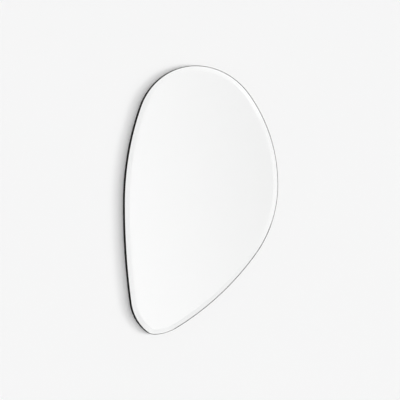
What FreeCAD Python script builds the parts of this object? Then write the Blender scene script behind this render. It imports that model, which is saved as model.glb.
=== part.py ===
"""Irregular wall mirror: a bevelled pane in a thin black band, hung on two keyhole plates.

Millimetres, +Z up. The wall is the plane y = 0 and the mirror faces -Y. The origin lies on
the wall, at the middle of the mirror's overall width and height. Every flat piece lies
parallel to the wall, and its place is its distance in front of the wall.
"""

import FreeCAD, Part
import math
import os
from collections import namedtuple

import Sketcher
from FreeCAD import Placement, Rotation, Vector

DIMENSIONS = [
    # Overall outline, measured outside the band
    ("mirror_width", 500.0, "overall width"),
    ("mirror_height", 800.0, "overall height"),
    # Where the outline touches its bounding box
    ("right_point_height", 45.0, "furthest right point, above the middle"),
    ("left_point_drop", 15.0, "furthest left point, below the middle"),
    ("top_point_offset", 15.0, "highest point, left of the middle"),
    ("tip_from_left", 95.0, "lowest point, from the left side"),
    # How far the outline has turned from a side, in degrees, where one arc meets the next
    ("upper_right_turn", 39.0, "upper right: side arc to top arc"),
    ("upper_left_turn", 20.0, "upper left: side arc to top arc"),
    ("lower_left_turn", 8.0, "lower left: side arc to corner arc"),
    ("lower_left_tip_turn", 52.0, "lower left: corner arc to tip arc"),
    ("lower_right_turn", 39.0, "lower right: side arc to slant arc"),
    ("lower_right_tip_turn", 62.0, "lower right: slant arc to tip arc"),
    ("tip_left_radius", 39.0, "tip arc left of the lowest point"),
    ("tip_right_radius", 150.0, "tip arc right of the lowest point"),
    # Edge band and its welded tabs
    ("band_thickness", 1.2, "edge band, wall"),
    ("band_edge_break", 0.3, "edge band, chamfer on its front edges"),
    ("tab_width", 14.0, "tab, width"),
    ("tab_reach", 10.0, "tab, from the band to its screw"),
    # Pane
    ("glass_thickness", 4.0, "pane, thickness"),
    ("bevel_width", 15.0, "bevel, across the face"),
    ("bevel_drop", 2.0, "bevel, down the edge"),
    ("glass_clearance", 0.3, "gap between pane and band"),
    ("film_thickness", 0.1, "silver and its backing paint"),
    # Board and what joins it to the pane
    ("board_thickness", 12.0, "backing board, thickness"),
    ("board_clearance", 0.4, "gap between board and band"),
    ("tape_thickness", 1.0, "foam tape and adhesive, thickness"),
    ("tape_width", 25.0, "tape strip, width"),
    ("tape_side_gap", 74.0, "outer tape strips, centre to the mirror's side"),
    ("tape_end_gap", 32.0, "tape strip, from the outline to its end"),
    ("bead_width", 12.0, "adhesive bead, width once pressed"),
    ("bead_end_gap", 70.0, "adhesive bead, from the outline to its end"),
    # Hangers
    ("hanger_spacing", 200.0, "keyholes, centre to centre"),
    ("hanger_height", 190.0, "keyhole entries, above the middle"),
    ("plate_length", 58.0, "hanger plate, length"),
    ("plate_width", 26.0, "hanger plate, width"),
    ("plate_corner", 4.0, "hanger plate, corner radius"),
    ("plate_thickness", 1.5, "hanger plate and tab, thickness"),
    ("plate_clearance", 0.25, "gap round plates and tabs in the board"),
    ("plate_hole_spacing", 44.0, "hanger plate, screw to screw"),
    ("keyhole_entry", 10.0, "keyhole, entry diameter"),
    ("keyhole_slot", 5.0, "keyhole, slot width"),
    ("keyhole_rise", 9.0, "keyhole, entry centre to slot end centre"),
    ("keyhole_drop", 4.0, "keyhole entry, below the plate's middle"),
    ("head_room_length", 30.0, "pocket for the wall screw's head, across"),
    ("head_room_width", 20.0, "pocket for the wall screw's head, upright"),
    ("head_room_depth", 5.0, "pocket for the wall screw's head, depth"),
    # Wood screws, countersunk at 90 degrees
    ("screw_head", 6.0, "screw, head diameter"),
    ("screw_shank", 3.0, "screw, shank diameter"),
    ("screw_length", 8.0, "screw, overall length"),
    ("screw_clearance", 0.2, "screw holes, more than the screw's diameter"),
    ("pilot_spare", 0.5, "pilot hole, deeper than the screw"),
    # Felt pads between board and wall
    ("pad_thickness", 1.0, "felt pad, thickness"),
    ("pad_width", 20.0, "felt pad, side of its square"),
    ("pad_inset", 40.0, "felt pad centre, in from the outline"),
]

TAPE_STRIPS = 5
# Outward angles, in degrees, of the outline where the tabs and the pads stand
TAB_NORMALS = (10.0, 73.0, 163.0, 183.0, 280.0, 319.0)
PAD_NORMALS = {
    "wall_pad_upper_right": 50.0,
    "wall_pad_upper_left": 135.0,
    "wall_pad_lower_left": 220.0,
    "wall_pad_lower_right": 330.0,
}

doc = FreeCAD.newDocument("irregular_mirror")

# ---------------------------------------------------------------- sizes

sheet = doc.addObject("Spreadsheet::Sheet", "sizes")
for row, (name, number, note) in enumerate(DIMENSIONS, start=1):
    sheet.set(f"A{row}", note)
    sheet.set(f"B{row}", str(number))
    sheet.setAlias(f"B{row}", name)
doc.recompute()


def size(name):
    """Value of one named dimension."""
    return float(sheet.get(name))


def number_of(expression):
    """Value of an expression of the sheet."""
    return float(sheet.evalExpression(expression))


# Distances in front of the wall
BOARD_BACK = "sizes.pad_thickness"
BOARD_FRONT = f"{BOARD_BACK} + sizes.board_thickness"
FILM_BACK = f"{BOARD_FRONT} + sizes.tape_thickness"
GLASS_BACK = f"{FILM_BACK} + sizes.film_thickness"
BAND_DEPTH = f"{GLASS_BACK} + sizes.glass_thickness - sizes.bevel_drop"

# Distances in from the outline
GLASS_INSET = "sizes.band_thickness + sizes.glass_clearance"
BOARD_INSET = "sizes.band_thickness + sizes.board_clearance"

# ---------------------------------------------------------------- outline

Arc = namedtuple("Arc", "centre radius start end")


def quadrant_radii(turns, across, up, tip_radius=None):
    """Radii, from the side on, of the arcs that carry a quadrant over its two reaches.

    The outline turns from a side (0 degrees) to the top or bottom (90 degrees) and changes
    arc at each of the turns. A tip radius, if given, is the last arc's own.
    """
    angles = [math.radians(a) for a in (0.0, *turns, 90.0)]
    across_shares = [math.cos(a) - math.cos(b) for a, b in zip(angles, angles[1:])]
    up_shares = [math.sin(b) - math.sin(a) for a, b in zip(angles, angles[1:])]
    given = []
    if tip_radius is not None:
        across -= tip_radius * across_shares[-1]
        up -= tip_radius * up_shares[-1]
        given = [tip_radius]
    cross = across_shares[0] * up_shares[1] - across_shares[1] * up_shares[0]
    first = (across * up_shares[1] - across_shares[1] * up) / cross
    second = (across_shares[0] * up - across * up_shares[0]) / cross
    return [first, second, *given]


def outline_arcs():
    """The outline's ten tangent arcs, counter-clockwise from its furthest right point."""
    half_width = size("mirror_width") / 2
    half_height = size("mirror_height") / 2
    top_x = -size("top_point_offset")
    tip_x = size("tip_from_left") - half_width
    right_z = size("right_point_height")
    left_z = -size("left_point_drop")
    # turns, reach across, reach up or down, tip radius, first arc at the side
    quadrants = [
        ([size("upper_right_turn")], half_width - top_x, half_height - right_z, None, True),
        ([size("upper_left_turn")], half_width + top_x, half_height - left_z, None, False),
        (
            [size("lower_left_turn"), size("lower_left_tip_turn")],
            half_width + tip_x,
            half_height + left_z,
            size("tip_left_radius"),
            True,
        ),
        (
            [size("lower_right_turn"), size("lower_right_tip_turn")],
            half_width - tip_x,
            half_height + right_z,
            size("tip_right_radius"),
            False,
        ),
    ]
    arcs = []
    point = Vector(half_width, right_z, 0)
    angle = 0.0
    for turns, across, up, tip_radius, from_side in quadrants:
        radii = quadrant_radii(turns, across, up, tip_radius)
        bounds = (0.0, *turns, 90.0)
        sweeps = [b - a for a, b in zip(bounds, bounds[1:])]
        pairs = list(zip(sweeps, radii))
        for sweep, radius in pairs if from_side else reversed(pairs):
            centre = point - radius * direction(angle)
            arcs.append(Arc(centre, radius, angle, angle + sweep))
            angle += sweep
            point = centre + radius * direction(angle)
    return arcs


def direction(degrees):
    """Unit vector at an angle in the plane of the mirror, as a sketch holds it."""
    return Vector(math.cos(math.radians(degrees)), math.sin(math.radians(degrees)), 0)


OUTLINE = outline_arcs()


def outline_point(normal, inset):
    """Point of the outline whose outward normal is at this angle, moved in by the inset."""
    normal %= 360
    arc = next(a for a in OUTLINE if a.start <= normal <= a.end)
    return arc.centre + (arc.radius - inset) * direction(normal)


def upright_span(x, inset):
    """Lowest and highest height inside the outline at this x, kept in by the inset."""
    heights = []
    for arc in OUTLINE:
        radius = arc.radius - inset
        across = x - arc.centre.x
        if abs(across) > radius:
            continue
        for side in (1, -1):
            up = side * math.sqrt(radius**2 - across**2)
            normal = math.degrees(math.atan2(up, across)) % 360
            if arc.start <= normal <= arc.end:
                heights.append(arc.centre.y + up)
    return min(heights), max(heights)


# ---------------------------------------------------------------- sketches and features


def new_body(name):
    """Empty body with its own label."""
    body = doc.addObject("PartDesign::Body", name)
    body.Label = name
    return body


def wall_sketch(body, name, distance):
    """Sketch parallel to the wall, at a distance in front of it given as an expression.

    The sketch's x and y are the mirror's X and Z, and it faces the front.
    """
    sketch = body.newObject("Sketcher::SketchObject", name)
    plane = next(f for f in body.Origin.OriginFeatures if f.Role == "XZ_Plane")
    sketch.AttachmentSupport = [(plane, "")]
    sketch.MapMode = "FlatFace"
    sketch.setExpression("AttachmentOffset.Base.z", distance)
    return sketch


def bind(sketch, constraint, name, expression):
    """Add a driving constraint under a name and tie it to an expression of the sheet."""
    number = sketch.addConstraint(constraint)
    sketch.renameConstraint(number, name)
    sketch.setExpression(f"Constraints.{name}", expression)


START, END, CENTRE = range(1, 4)
ORIGIN = -1


def tie_point(sketch, shape, end, name=None, across=None, up=None):
    """Hold a point at its distances from the sketch's origin, tied to expressions if given."""
    point = sketch.getPoint(shape, end)
    for axis, reach, expression in (("X", point.x, across), ("Y", point.y, up)):
        ends = (ORIGIN, START, shape, end) if reach >= 0 else (shape, end, ORIGIN, START)
        constraint = Sketcher.Constraint(f"Distance{axis}", *ends, abs(reach))
        if expression:
            bind(sketch, constraint, f"{name}_{axis.lower()}", expression)
        else:
            sketch.addConstraint(constraint)


def add_arc(sketch, centre, radius, start, end):
    """Arc from one angle to another, in degrees."""
    circle = Part.Circle(centre, Vector(0, 0, 1), radius)
    limits = (math.radians(start), math.radians(end))
    return sketch.addGeometry(Part.ArcOfCircle(circle, *limits), False)


def add_line(sketch, start, end):
    """Straight line between two points."""
    return sketch.addGeometry(Part.LineSegment(start, end), False)


def close_loop(sketch, shapes, corners=()):
    """Join shapes end to start, tangent except where the shape before a corner is named."""
    for here, there in zip(shapes, shapes[1:] + shapes[:1]):
        kind = "Coincident" if here in corners else "Tangent"
        sketch.addConstraint(Sketcher.Constraint(kind, here, END, there, START))


def add_outline(sketch, inset, prefix):
    """Draw the outline moved in by an expression, and tie its arcs to the sheet.

    Neighbours are tangent. The four extreme points, six turns and two tip radii fix the rest.
    """
    moved_in = number_of(inset)
    arcs = [add_arc(sketch, a.centre, a.radius - moved_in, a.start, a.end) for a in OUTLINE]
    close_loop(sketch, arcs)
    half_width = f"sizes.mirror_width / 2 - ({inset})"
    half_height = f"sizes.mirror_height / 2 - ({inset})"
    tip_across = "sizes.mirror_width / 2 - sizes.tip_from_left"
    for index, across, up, kind, label in (
        (0, half_width, "sizes.right_point_height", "Horizontal", "right"),
        (2, "sizes.top_point_offset", half_height, "Vertical", "top"),
        (4, half_width, "sizes.left_point_drop", "Horizontal", "left"),
        (7, tip_across, half_height, "Vertical", "tip"),
    ):
        tie_point(sketch, arcs[index], START, f"{prefix}_{label}", across, up)
        sketch.addConstraint(Sketcher.Constraint(kind, arcs[index], START, arcs[index], CENTRE))
    for index, label, expression in (
        (0, "upper_right", "sizes.upper_right_turn"),
        (3, "upper_left", "sizes.upper_left_turn"),
        (4, "lower_left", "sizes.lower_left_turn"),
        (5, "lower_left_corner", "sizes.lower_left_tip_turn - sizes.lower_left_turn"),
        (8, "lower_right_slant", "sizes.lower_right_tip_turn - sizes.lower_right_turn"),
        (9, "lower_right", "sizes.lower_right_turn"),
    ):
        sweep = math.radians(OUTLINE[index].end - OUTLINE[index].start)
        constraint = Sketcher.Constraint("Angle", arcs[index], sweep)
        bind(sketch, constraint, f"{prefix}_{label}", f"({expression}) * 1 deg")
    for index, label in ((6, "tip_left_radius"), (7, "tip_right_radius")):
        radius = OUTLINE[index].radius - moved_in
        constraint = Sketcher.Constraint("Radius", arcs[index], radius)
        bind(sketch, constraint, f"{prefix}_{label}", f"sizes.{label} - ({inset})")


def add_plate_outline(sketch, middle, grow, prefix):
    """Hanger plate's rounded rectangle about a middle point, grown all round by an expression."""
    radius = size("plate_corner") + number_of(grow)
    reach_x = size("plate_length") / 2 - size("plate_corner")
    reach_z = size("plate_width") / 2 - size("plate_corner")
    corners = [
        (middle + Vector(x * reach_x, z * reach_z, 0), start)
        for x, z, start in ((1, 1, 0), (-1, 1, 90), (-1, -1, 180), (1, -1, 270))
    ]
    shapes = []
    for (centre, start), (after, _) in zip(corners, corners[1:] + corners[:1]):
        shapes.append(add_arc(sketch, centre, radius, start, start + 90))
        outward = radius * direction(start + 90)
        shapes.append(add_line(sketch, centre + outward, after + outward))
    close_loop(sketch, shapes)
    for line, kind in zip(shapes[1::2], ("Horizontal", "Vertical", "Horizontal", "Vertical")):
        sketch.addConstraint(Sketcher.Constraint(kind, line))
    arcs = shapes[0::2]
    for other in arcs[1:]:
        sketch.addConstraint(Sketcher.Constraint("Equal", arcs[0], other))
    tie_point(sketch, arcs[2], CENTRE)
    across = Sketcher.Constraint("DistanceX", arcs[2], CENTRE, arcs[0], CENTRE, 2 * reach_x)
    up = Sketcher.Constraint("DistanceY", arcs[2], CENTRE, arcs[0], CENTRE, 2 * reach_z)
    corner = Sketcher.Constraint("Radius", arcs[0], radius)
    bind(sketch, across, f"{prefix}_across", "sizes.plate_length - 2 * sizes.plate_corner")
    bind(sketch, up, f"{prefix}_up", "sizes.plate_width - 2 * sizes.plate_corner")
    bind(sketch, corner, f"{prefix}_corner", f"sizes.plate_corner + {grow}")


def add_head_room(sketch, middle, prefix):
    """Round-ended pocket that a wall screw's head moves in."""
    radius = size("head_room_width") / 2
    reach = Vector(size("head_room_length") / 2 - radius, 0, 0)
    up = Vector(0, radius, 0)
    shapes = [
        add_arc(sketch, middle + reach, radius, -90, 90),
        add_line(sketch, middle + reach + up, middle - reach + up),
        add_arc(sketch, middle - reach, radius, 90, 270),
        add_line(sketch, middle - reach - up, middle + reach - up),
    ]
    close_loop(sketch, shapes)
    for line in (shapes[1], shapes[3]):
        sketch.addConstraint(Sketcher.Constraint("Horizontal", line))
    tie_point(sketch, shapes[2], CENTRE)
    across = Sketcher.Constraint("DistanceX", shapes[2], CENTRE, shapes[0], CENTRE, 2 * reach.x)
    end = Sketcher.Constraint("Radius", shapes[0], radius)
    bind(sketch, across, f"{prefix}_across", "sizes.head_room_length - sizes.head_room_width")
    bind(sketch, end, f"{prefix}_end", "sizes.head_room_width / 2")


def add_keyhole(sketch):
    """Keyhole: a round entry below, with a slot that rises from it, on the plate's middle."""
    entry = size("keyhole_entry") / 2
    slot = size("keyhole_slot") / 2
    low = Vector(0, -size("keyhole_drop"), 0)
    high = low + Vector(0, size("keyhole_rise"), 0)
    mouth = math.degrees(math.asin(slot / entry))
    shapes = [
        add_arc(sketch, low, entry, 90 + mouth, 450 - mouth),
        add_line(sketch, low + entry * direction(90 - mouth), high + Vector(slot, 0, 0)),
        add_arc(sketch, high, slot, 0, 180),
        add_line(sketch, high - Vector(slot, 0, 0), low + entry * direction(90 + mouth)),
    ]
    close_loop(sketch, shapes, corners=(shapes[0], shapes[3]))
    for line in (shapes[1], shapes[3]):
        sketch.addConstraint(Sketcher.Constraint("Vertical", line))
    for arc, label, radius, expression in (
        (shapes[0], "entry", entry, "sizes.keyhole_entry / 2"),
        (shapes[2], "slot", slot, "sizes.keyhole_slot / 2"),
    ):
        bind(sketch, Sketcher.Constraint("Radius", arc, radius), f"{label}_radius", expression)
    drop = Sketcher.Constraint("DistanceY", shapes[0], CENTRE, ORIGIN, START, -low.y)
    rise = Sketcher.Constraint("DistanceY", shapes[0], CENTRE, shapes[2], CENTRE, high.y - low.y)
    bind(sketch, drop, "entry_drop", "sizes.keyhole_drop")
    bind(sketch, rise, "slot_rise", "sizes.keyhole_rise")
    for arc in (shapes[0], shapes[2]):
        sketch.addConstraint(Sketcher.Constraint("PointOnObject", arc, CENTRE, -2))


def add_tab(sketch, normal, grow, prefix):
    """Tab that runs in from the middle of the band and ends round about its screw."""
    radius = size("tab_width") / 2 + number_of(grow)
    root = outline_point(normal, size("band_thickness") / 2)
    screw = tab_screw(normal)
    side = radius * direction(normal + 90)
    shapes = [
        add_line(sketch, root + side, screw + side),
        add_arc(sketch, screw, radius, normal + 90, normal + 270),
        add_line(sketch, screw - side, root - side),
        add_line(sketch, root - side, root + side),
    ]
    close_loop(sketch, shapes, corners=(shapes[2], shapes[3]))
    tie_point(sketch, shapes[1], CENTRE)
    tie_point(sketch, shapes[0], START)
    sketch.addConstraint(Sketcher.Constraint("Parallel", shapes[0], shapes[2]))
    sketch.addConstraint(Sketcher.Constraint("Perpendicular", shapes[2], shapes[3]))
    end = Sketcher.Constraint("Radius", shapes[1], radius)
    bind(sketch, end, f"{prefix}_end", f"sizes.tab_width / 2 + {grow}")


def add_circles(sketch, centres, diameter, prefix):
    """Circles of one diameter, given as an expression."""
    radius = number_of(diameter) / 2
    for number, centre in enumerate(centres):
        circle = sketch.addGeometry(Part.Circle(centre, Vector(0, 0, 1), radius), False)
        tie_point(sketch, circle, CENTRE)
        constraint = Sketcher.Constraint("Diameter", circle, 2 * radius)
        bind(sketch, constraint, f"{prefix}_{number}", diameter)


def pad(body, sketch, length):
    """Solid from the sketch towards the front."""
    feature = body.newObject("PartDesign::Pad", f"{sketch.Label}_pad")
    feature.Profile = sketch
    feature.setExpression("Length", length)
    doc.recompute()
    return feature


def pocket(body, sketch, depth):
    """Pocket from the sketch towards the front."""
    before = body.Shape.Volume
    feature = body.newObject("PartDesign::Pocket", f"{sketch.Label}_pocket")
    feature.Profile = sketch
    feature.Reversed = True
    feature.setExpression("Length", depth)
    doc.recompute()
    if body.Shape.Volume >= before:
        raise RuntimeError(f"{feature.Label} cuts nothing")
    return feature


def screw_holes(body, sketch):
    """Countersunk screw holes through the metal, open towards the wall."""
    before = body.Shape.Volume
    hole = body.newObject("PartDesign::Hole", f"{sketch.Label}_hole")
    hole.Profile = sketch
    hole.Reversed = True
    hole.DepthType = "ThroughAll"
    hole.Threaded = False
    hole.setExpression("Diameter", SCREW_HOLE)
    hole.HoleCutType = "Countersink"
    hole.setExpression("HoleCutDiameter", "sizes.screw_head + sizes.screw_clearance")
    hole.HoleCutCountersinkAngle = 90
    doc.recompute()
    if body.Shape.Volume >= before:
        raise RuntimeError(f"{hole.Label} cuts nothing")
    return hole


def front_edges(shape, distance):
    """Names of the edges that lie at a distance in front of the wall."""
    plane = -number_of(distance)
    return [
        f"Edge{number}"
        for number, edge in enumerate(shape.Edges, start=1)
        if abs(edge.BoundBox.YMin - plane) < 1e-4 and abs(edge.BoundBox.YMax - plane) < 1e-4
    ]


# ---------------------------------------------------------------- places

SCREW_HOLE = "sizes.screw_shank + sizes.screw_clearance"
SIDES = {"left": -1, "right": 1}


def tab_screw(normal):
    """Where the screw of the tab at this outward angle stands, as a sketch holds it."""
    return outline_point(normal, size("band_thickness") + size("tab_reach"))


def plate_middle(side):
    """Middle of a hanger plate, as a sketch holds it."""
    across = SIDES[side] * size("hanger_spacing") / 2
    return Vector(across, size("hanger_height") + size("keyhole_drop"), 0)


def plate_screws(side):
    """Where the two screws of a hanger plate stand, as a sketch holds them."""
    reach = Vector(size("plate_hole_spacing") / 2, 0, 0)
    return [plate_middle(side) - reach, plate_middle(side) + reach]


def on_wall(point):
    """Point of the part, on the wall, from a sketch's point."""
    return Vector(point.x, 0, point.y)


TOWARDS_FRONT = Rotation(Vector(1, 0, 0), 90)

# ---------------------------------------------------------------- band, pane and board


def make_edge_band():
    """Flat strip bent round the outline and welded shut, with tabs that hold the board."""
    body = new_body("edge_band")
    ring = wall_sketch(body, "band_ring", "0")
    add_outline(ring, "0", "outer")
    add_outline(ring, "sizes.band_thickness", "inner")
    strip = pad(body, ring, BAND_DEPTH)
    broken = body.newObject("PartDesign::Chamfer", "band_front_edges")
    broken.Base = (strip, front_edges(strip.Shape, BAND_DEPTH))
    broken.setExpression("Size", "sizes.band_edge_break")
    doc.recompute()
    tabs = wall_sketch(body, "band_tabs", BOARD_BACK)
    for number, normal in enumerate(TAB_NORMALS):
        add_tab(tabs, normal, "0", f"tab_{number}")
    pad(body, tabs, "sizes.plate_thickness")
    holes = wall_sketch(body, "tab_holes", BOARD_BACK)
    add_circles(holes, map(tab_screw, TAB_NORMALS), SCREW_HOLE, "screw")
    screw_holes(body, holes)
    return body


def make_mirror_glass():
    """Pane with a wide bevel all round; the edge that is left stands inside the band."""
    body = new_body("mirror_glass")
    sketch = wall_sketch(body, "glass_outline", GLASS_BACK)
    add_outline(sketch, GLASS_INSET, "glass")
    blank = pad(body, sketch, "sizes.glass_thickness")
    face = f"{GLASS_BACK} + sizes.glass_thickness"
    front = next(
        f"Face{number}"
        for number, shape in enumerate(blank.Shape.Faces, start=1)
        if abs(shape.CenterOfMass.y + number_of(face)) < 1e-4
    )
    bevel = body.newObject("PartDesign::Chamfer", "glass_bevel")
    bevel.Base = (blank, [front])
    bevel.ChamferType = "Two distances"
    bevel.setExpression("Size", "sizes.bevel_drop")
    bevel.setExpression("Size2", "sizes.bevel_width")
    doc.recompute()
    return body


def make_silver_backing():
    """Silver with its copper and paint, on the whole back of the pane."""
    body = new_body("silver_backing")
    sketch = wall_sketch(body, "silver_outline", FILM_BACK)
    add_outline(sketch, GLASS_INSET, "silver")
    pad(body, sketch, "sizes.film_thickness")
    return body


def make_backing_board():
    """Board with recesses for the plates and tabs, head room behind the keyholes and pilots."""
    body = new_body("backing_board")
    outline = wall_sketch(body, "board_outline", BOARD_BACK)
    add_outline(outline, BOARD_INSET, "board")
    pad(body, outline, "sizes.board_thickness")
    recesses = wall_sketch(body, "board_recesses", BOARD_BACK)
    rooms = wall_sketch(body, "board_head_rooms", BOARD_BACK)
    for side in SIDES:
        add_plate_outline(recesses, plate_middle(side), "sizes.plate_clearance", side)
        add_head_room(rooms, plate_middle(side), side)
    for number, normal in enumerate(TAB_NORMALS):
        add_tab(recesses, normal, "sizes.plate_clearance", f"tab_{number}")
    pilots = wall_sketch(body, "board_pilots", BOARD_BACK)
    centres = [tab_screw(normal) for normal in TAB_NORMALS]
    for side in SIDES:
        centres += plate_screws(side)
    add_circles(pilots, centres, SCREW_HOLE, "pilot")
    pocket(body, recesses, "sizes.plate_thickness")
    pocket(body, rooms, "sizes.plate_thickness + sizes.head_room_depth")
    pocket(body, pilots, "sizes.screw_length + sizes.pilot_spare")
    return body


# ---------------------------------------------------------------- hangers, screws and soft pieces


def make_hanger_plate(side):
    """Steel keyhole plate, let into the board flush with its back."""
    body = new_body(f"hanger_plate_{side}")
    outline = wall_sketch(body, f"plate_{side}", BOARD_BACK)
    add_plate_outline(outline, Vector(0, 0, 0), "0", "plate")
    add_keyhole(outline)
    pad(body, outline, "sizes.plate_thickness")
    holes = wall_sketch(body, f"plate_screws_{side}", BOARD_BACK)
    reach = Vector(size("plate_hole_spacing") / 2, 0, 0)
    add_circles(holes, (-reach, reach), SCREW_HOLE, "screw")
    screw_holes(body, holes)
    body.setExpression("Placement.Base.x", f"{SIDES[side]} * sizes.hanger_spacing / 2")
    body.setExpression("Placement.Base.z", "sizes.hanger_height + sizes.keyhole_drop")
    return body


def make_screws(name, centres):
    """Countersunk wood screws, heads flush with the board's back."""
    head_length = "(sizes.screw_head - sizes.screw_shank) / 2"
    screws = []
    for number, centre in enumerate(centres):
        label = f"{name}_{number}"
        head = doc.addObject("Part::Cone", f"{label}_head")
        head.setExpression("Radius1", "sizes.screw_head / 2")
        head.setExpression("Radius2", "sizes.screw_shank / 2")
        head.setExpression("Height", head_length)
        shank = doc.addObject("Part::Cylinder", f"{label}_shank")
        shank.setExpression("Radius", "sizes.screw_shank / 2")
        shank.setExpression("Height", f"sizes.screw_length - {head_length}")
        for piece, along in ((head, "0"), (shank, head_length)):
            piece.Placement = Placement(on_wall(centre), TOWARDS_FRONT)
            piece.setExpression("Placement.Base.y", f"-({BOARD_BACK} + {along})")
        screw = doc.addObject("Part::MultiFuse", label)
        screw.Shapes = [head, shank]
        screws.append(screw)
    group = doc.addObject("Part::Compound", name)
    group.Links = screws
    group.Label = name
    return group


def make_slab(name, middle, across, upright, distance, thickness):
    """Flat rectangular piece about a middle point, as a sketch holds it.

    It starts at its distance in front of the wall. That and its sizes are expressions.
    """
    slab = doc.addObject("Part::Box", name)
    slab.Label = name
    slab.setExpression("Length", across)
    slab.setExpression("Width", thickness)
    slab.setExpression("Height", upright)
    corner = middle - Vector(number_of(across) / 2, number_of(upright) / 2, 0)
    slab.Placement = Placement(on_wall(corner), Rotation())
    slab.setExpression("Placement.Base.y", f"-({distance} + {thickness})")
    return slab


def make_upright_strips(name, places, width, end_gap):
    """Strips between board and silver, one at each place across, as long as the outline allows."""
    strips = []
    for number, x in enumerate(places, start=1):
        sides = (x - size(width) / 2, x + size(width) / 2)
        spans = [upright_span(side, size(end_gap)) for side in sides]
        low = max(span[0] for span in spans)
        high = min(span[1] for span in spans)
        middle = Vector(x, (low + high) / 2, 0)
        length = str(high - low)
        strips.append(
            make_slab(
                f"{name}_{number}", middle, f"sizes.{width}", length, BOARD_FRONT, "sizes.tape_thickness"
            )
        )
    return strips


def tape_places():
    """Evenly spaced places across for the strips of tape."""
    outermost = size("mirror_width") / 2 - size("tape_side_gap")
    step = 2 * outermost / (TAPE_STRIPS - 1)
    return [number * step - outermost for number in range(TAPE_STRIPS)]


# ---------------------------------------------------------------- the mirror

nodes = [make_edge_band(), make_mirror_glass(), make_silver_backing(), make_backing_board()]
tapes = tape_places()
beads = [(left + right) / 2 for left, right in zip(tapes, tapes[1:])]
nodes += make_upright_strips("tape_strip", tapes, "tape_width", "tape_end_gap")
nodes += make_upright_strips("adhesive_bead", beads, "bead_width", "bead_end_gap")
for side in SIDES:
    nodes.append(make_hanger_plate(side))
    nodes.append(make_screws(f"hanger_screws_{side}", plate_screws(side)))
nodes.append(make_screws("band_screws", map(tab_screw, TAB_NORMALS)))
for name, normal in PAD_NORMALS.items():
    middle = outline_point(normal, size("pad_inset"))
    width = "sizes.pad_width"
    nodes.append(make_slab(name, middle, width, width, "0", "sizes.pad_thickness"))
doc.recompute()

# ---------------------------------------------------------------- checks and files

for thing in doc.Objects:
    if {"Invalid", "Error"} & set(thing.State):
        raise RuntimeError(f"{thing.Label} failed: {thing.State}")
for node in nodes:
    if node.Shape.isNull() or not node.Shape.isValid():
        raise RuntimeError(f"{node.Label} has no valid shape")

os.makedirs("parts", exist_ok=True)
for node in nodes:
    node.Shape.exportStep(os.path.join("parts", f"{node.Label}.step"))
    solids = len(node.Shape.Solids)
    print(f"{node.Label}: {solids} solid(s), {node.Shape.Volume / 1000:.2f} cm3")
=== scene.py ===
"""Looks of the irregular wall mirror: bevelled pane, black edge band and what holds them.

Metres, in the packed part's own frame: +Z up, the wall is the plane y = 0 and the mirror
faces -Y. Every piece is built where its CAD node lies.
"""

import math
import random

import bmesh
import bpy
from mathutils import Matrix, Vector


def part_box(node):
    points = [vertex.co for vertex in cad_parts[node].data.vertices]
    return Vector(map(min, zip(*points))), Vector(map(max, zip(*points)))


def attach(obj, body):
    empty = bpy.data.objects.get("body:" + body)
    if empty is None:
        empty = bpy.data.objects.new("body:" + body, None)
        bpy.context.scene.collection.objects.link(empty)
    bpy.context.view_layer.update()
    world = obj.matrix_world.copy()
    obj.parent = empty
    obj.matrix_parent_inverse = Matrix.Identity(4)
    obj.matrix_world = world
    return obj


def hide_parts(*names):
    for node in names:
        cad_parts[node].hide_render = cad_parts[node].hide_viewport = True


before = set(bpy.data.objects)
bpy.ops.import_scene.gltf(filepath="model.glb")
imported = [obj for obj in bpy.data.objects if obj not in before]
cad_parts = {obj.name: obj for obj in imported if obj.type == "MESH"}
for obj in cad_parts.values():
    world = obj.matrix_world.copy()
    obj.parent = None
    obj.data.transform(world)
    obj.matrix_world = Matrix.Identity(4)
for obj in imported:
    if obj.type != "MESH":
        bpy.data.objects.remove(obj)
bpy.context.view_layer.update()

bl_info = {
    "name": "Irregular wall mirror",
    "version": (1, 0, 0),
    "blender": (4, 5, 0),
    "location": "3D View > Sidebar > Mirror",
    "description": "Builds the pane, edge band, board, hangers and studio of an irregular mirror",
    "category": "Object",
}

BODY = "root"
MM = 0.001

BAND_LOW, BAND_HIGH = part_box("edge_band")
GLASS_LOW, GLASS_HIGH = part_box("mirror_glass")
BOARD_LOW, BOARD_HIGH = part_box("backing_board")
TAPES = [f"tape_strip_{number}" for number in range(1, 6)]
BEADS = [f"adhesive_bead_{number}" for number in range(1, 5)]
PLATES = ["hanger_plate_left", "hanger_plate_right"]
SCREWS = ["band_screws", "hanger_screws_left", "hanger_screws_right"]
PADS = [f"wall_pad_{corner}" for corner in ("upper_right", "upper_left", "lower_left", "lower_right")]


def linear(level):
    """Linear value of a grey that shows as this level, from 0 to 255."""
    share = level / 255
    return share / 12.92 if share <= 0.04045 else ((share + 0.055) / 1.055) ** 2.4


# ---------------------------------------------------------------- settings


def distance(name, description, default):
    """A length in metres that the user can change."""
    return bpy.props.FloatProperty(
        name=name, description=description, default=default, unit="LENGTH", precision=5
    )


def turn(name, description, degrees):
    """An angle that the user can change."""
    return bpy.props.FloatProperty(
        name=name, description=description, default=math.radians(degrees), unit="ROTATION"
    )


def colour(name, description, default):
    """A linear colour that the user can change."""
    return bpy.props.FloatVectorProperty(
        name=name, description=description, default=default, size=3, subtype="COLOR", min=0, max=1
    )


def amount(name, description, default):
    """A plain number that the user can change."""
    return bpy.props.FloatProperty(name=name, description=description, default=default)


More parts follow.
